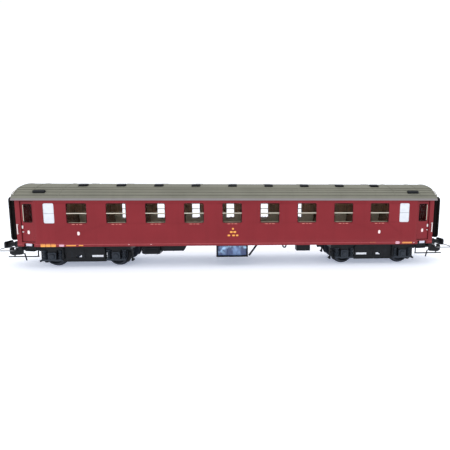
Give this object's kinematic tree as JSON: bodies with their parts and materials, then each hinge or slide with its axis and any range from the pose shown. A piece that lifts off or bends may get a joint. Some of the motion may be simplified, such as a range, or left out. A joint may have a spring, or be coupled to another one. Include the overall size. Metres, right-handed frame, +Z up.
{
  "type": "model railway passenger coach",
  "caption": "Scale model of a four-axle compartment passenger coach with swivelling bogies, turning wheelsets, loop couplers and gangway rings.",
  "frame": {"origin": "on the ground under the centre of the coach, level with the wheel flanges", "axes": "+X along the coach, -Y the compartment side, +Y the corridor side, +Z up"},
  "size_m": [0.2746, 0.0348, 0.0469],
  "materials": {
    "coach_red": "satin painted body shell",
    "roof_grey": "matt grey roof",
    "charcoal": "satin charcoal underframe",
    "gangway_rubber": "matt black gangway ring",
    "clear_pane": "clear window panes",
    "frosted_pane": "frosted white panes",
    "window_metal": "bright window rail",
    "cabin_brown": "brown compartment walls",
    "cabin_beige": "beige corridor wall and floor",
    "seat_brown": "moulded seats",
    "battery_blue": "glossy battery box",
    "wheel_steel": "turned wheels and axles",
    "ballast_steel": "plain steel weight",
    "white_trim": "white handrails and handles",
    "loop_wire": "bright wire"
  },
  "bodies": {
    "coach_body": {"side_near": "coach_red", "side_far": "coach_red", "end_wall_left": "coach_red", "end_wall_right": "coach_red", "doors_near": "coach_red", "doors_far": "coach_red", "end_doors": "coach_red", "roof": "roof_grey", "roof_vents": "charcoal", "glazing_near": "clear_pane", "glazing_far": "clear_pane", "frosted_panes": "frosted_pane", "window_rails": "window_metal", "chassis": "charcoal", "pivot_bosses": "charcoal", "coupler_posts": "charcoal", "headstocks": "charcoal", "buffers": "charcoal", "gangway_left": "gangway_rubber", "gangway_right": "gangway_rubber", "cabin_floor": "cabin_beige", "ballast_weight": "ballast_steel", "compartment_walls": "cabin_brown", "corridor_wall": "cabin_beige", "seats": "seat_brown", "battery_box": "battery_blue", "ribbed_box": "charcoal", "side_tank": "charcoal", "equipment_box": "charcoal", "brake_cylinders": "charcoal", "battery_stay": "charcoal", "lifting_rings": "charcoal", "steps": "charcoal", "handrails": "white_trim", "door_handles": "white_trim"},
    "bogie_left": {"bogie_frame_left": "charcoal", "axleboxes_left": "charcoal", "brake_gear_left": "charcoal"},
    "bogie_right": {"bogie_frame_right": "charcoal", "axleboxes_right": "charcoal", "brake_gear_right": "charcoal"},
    "wheelset_1": {"wheels_1": "wheel_steel", "axle_1": "wheel_steel"},
    "wheelset_2": {"wheels_2": "wheel_steel", "axle_2": "wheel_steel"},
    "wheelset_3": {"wheels_3": "wheel_steel", "axle_3": "wheel_steel"},
    "wheelset_4": {"wheels_4": "wheel_steel", "axle_4": "wheel_steel"},
    "coupler_left_body": {"coupler_left": "charcoal"},
    "loop_left_body": {"coupler_loop_left": "loop_wire"},
    "coupler_right_body": {"coupler_right": "charcoal"},
    "loop_right_body": {"coupler_loop_right": "loop_wire"}
  },
  "joints": [
    {"name": "bogie_left_swivel", "type": "hinge", "parent": "coach_body", "child": "bogie_left", "pos_m": [-0.0825, 0, 0.0126], "axis": [0, 0, 1], "range_deg": [-13, 13]},
    {"name": "bogie_right_swivel", "type": "hinge", "parent": "coach_body", "child": "bogie_right", "pos_m": [0.0825, 0, 0.0126], "axis": [0, 0, 1], "range_deg": [-13, 13]},
    {"name": "wheelset_1_spin", "type": "hinge", "parent": "bogie_left", "child": "wheelset_1", "pos_m": [-0.0998, 0, 0.0066], "axis": [0, 1, 0], "continuous": true},
    {"name": "wheelset_2_spin", "type": "hinge", "parent": "bogie_left", "child": "wheelset_2", "pos_m": [-0.0652, 0, 0.0066], "axis": [0, 1, 0], "continuous": true},
    {"name": "wheelset_3_spin", "type": "hinge", "parent": "bogie_right", "child": "wheelset_3", "pos_m": [0.0652, 0, 0.0066], "axis": [0, 1, 0], "continuous": true},
    {"name": "wheelset_4_spin", "type": "hinge", "parent": "bogie_right", "child": "wheelset_4", "pos_m": [0.0998, 0, 0.0066], "axis": [0, 1, 0], "continuous": true},
    {"name": "coupler_left_swing", "type": "hinge", "parent": "coach_body", "child": "coupler_left_body", "pos_m": [-0.1135, 0, 0.0087], "axis": [0, 0, 1], "range_deg": [-12, 12]},
    {"name": "loop_left_lift", "type": "hinge", "parent": "coupler_left_body", "child": "loop_left_body", "pos_m": [-0.1263, 0, 0.0082], "axis": [0, 1, 0], "range_deg": [0, 25]},
    {"name": "coupler_right_swing", "type": "hinge", "parent": "coach_body", "child": "coupler_right_body", "pos_m": [0.1135, 0, 0.0087], "axis": [0, 0, 1], "range_deg": [-12, 12]},
    {"name": "loop_right_lift", "type": "hinge", "parent": "coupler_right_body", "child": "loop_right_body", "pos_m": [0.1263, 0, 0.0082], "axis": [0, -1, 0], "range_deg": [0, 25]}
  ]
}
